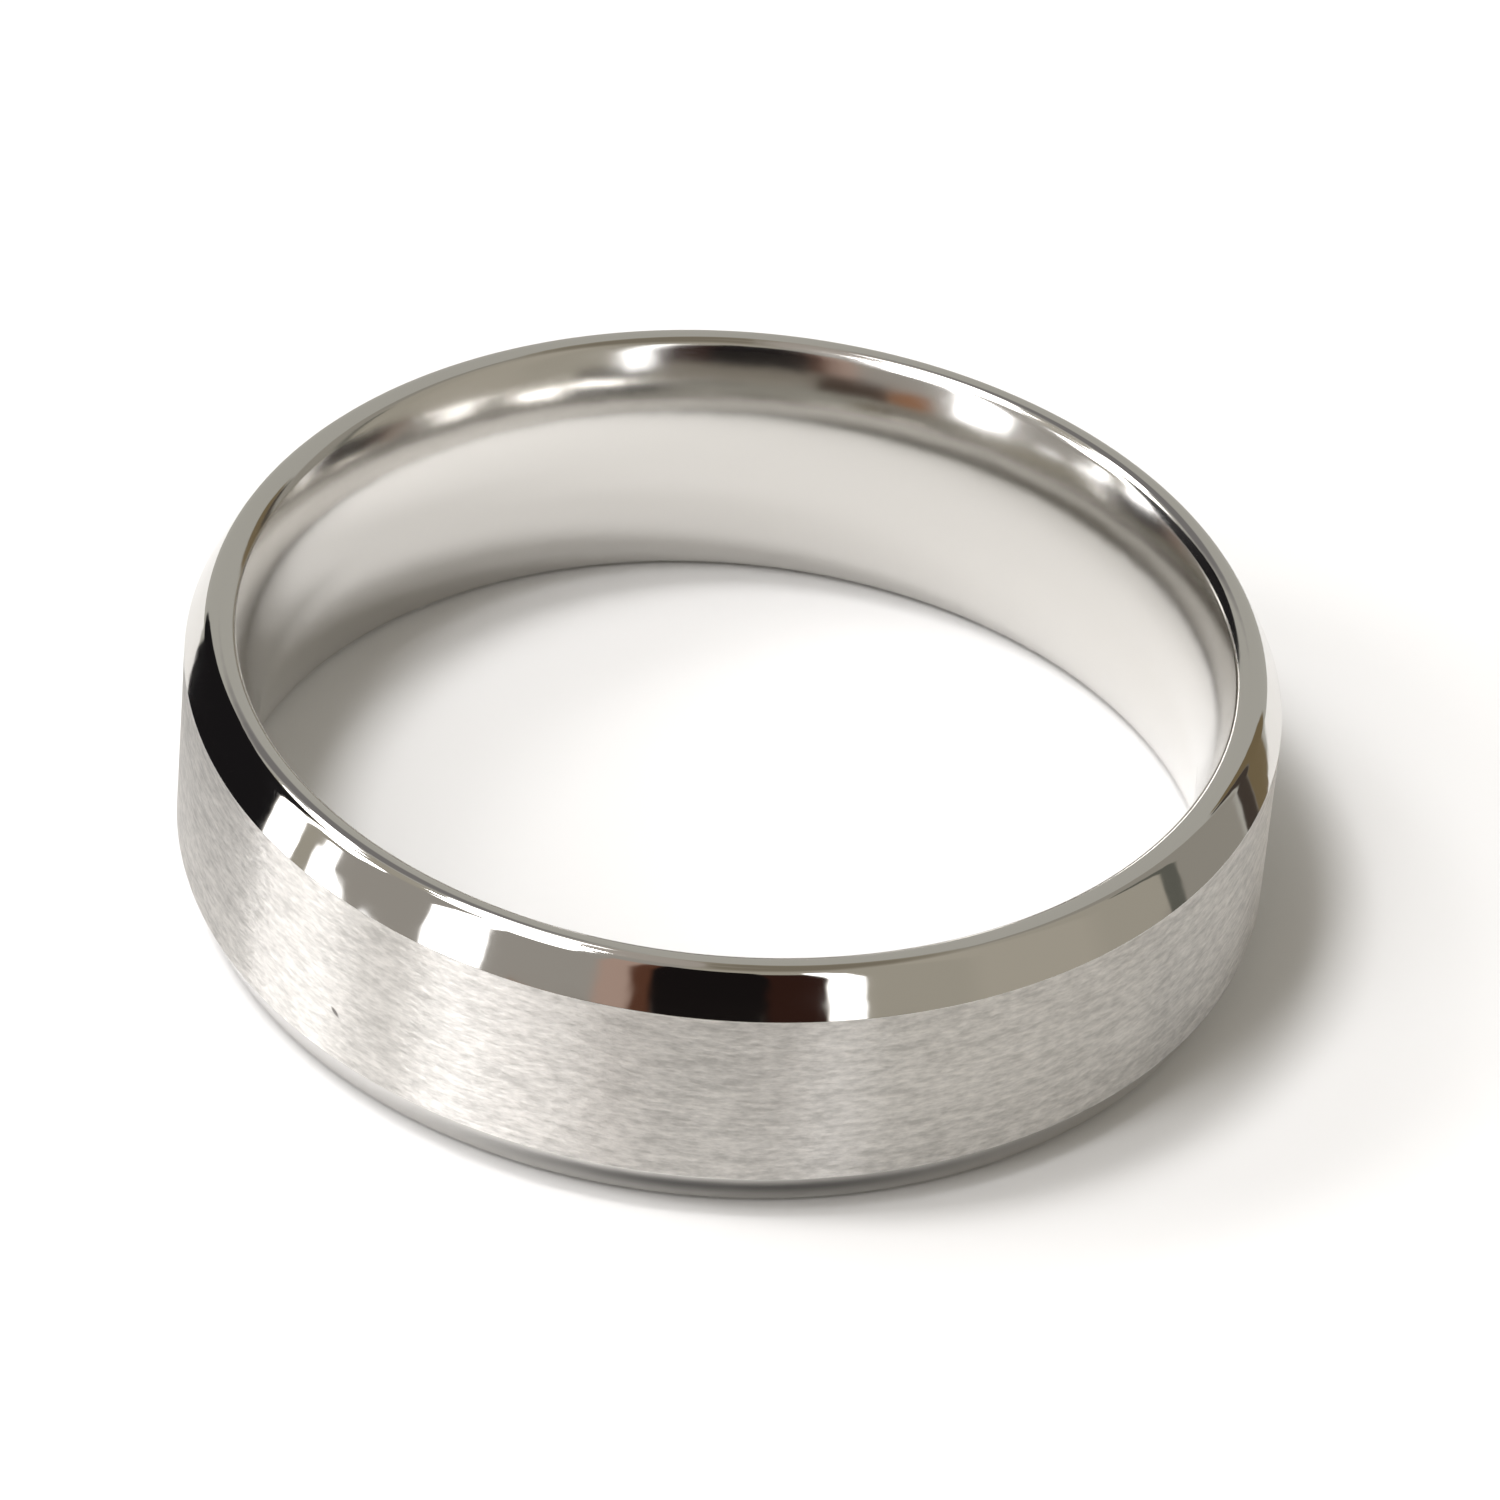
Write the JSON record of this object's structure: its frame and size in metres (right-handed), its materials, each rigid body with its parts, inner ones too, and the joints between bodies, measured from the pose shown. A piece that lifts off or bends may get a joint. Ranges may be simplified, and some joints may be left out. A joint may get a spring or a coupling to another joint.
{
  "type": "wedding band",
  "caption": "Plain wedding band with a brushed centre face, mirror-polished bevels and rounded edges, and a comfort-fit bore.",
  "frame": {"origin": "on the axis of the ring, in the plane that the band rests on when it lies on its side", "axes": "+Z along the axis of the ring, up when the band lies on its side; X and Y are any two directions across it, because the band is the same all the way round"},
  "size_m": [0.0226, 0.0226, 0.006],
  "materials": {
    "steel": "satin brushed round the outside face; mirror polish on the bevels, rounded edges and bore"
  },
  "bodies": {
    "root": {"band": "steel"}
  },
  "joints": []
}
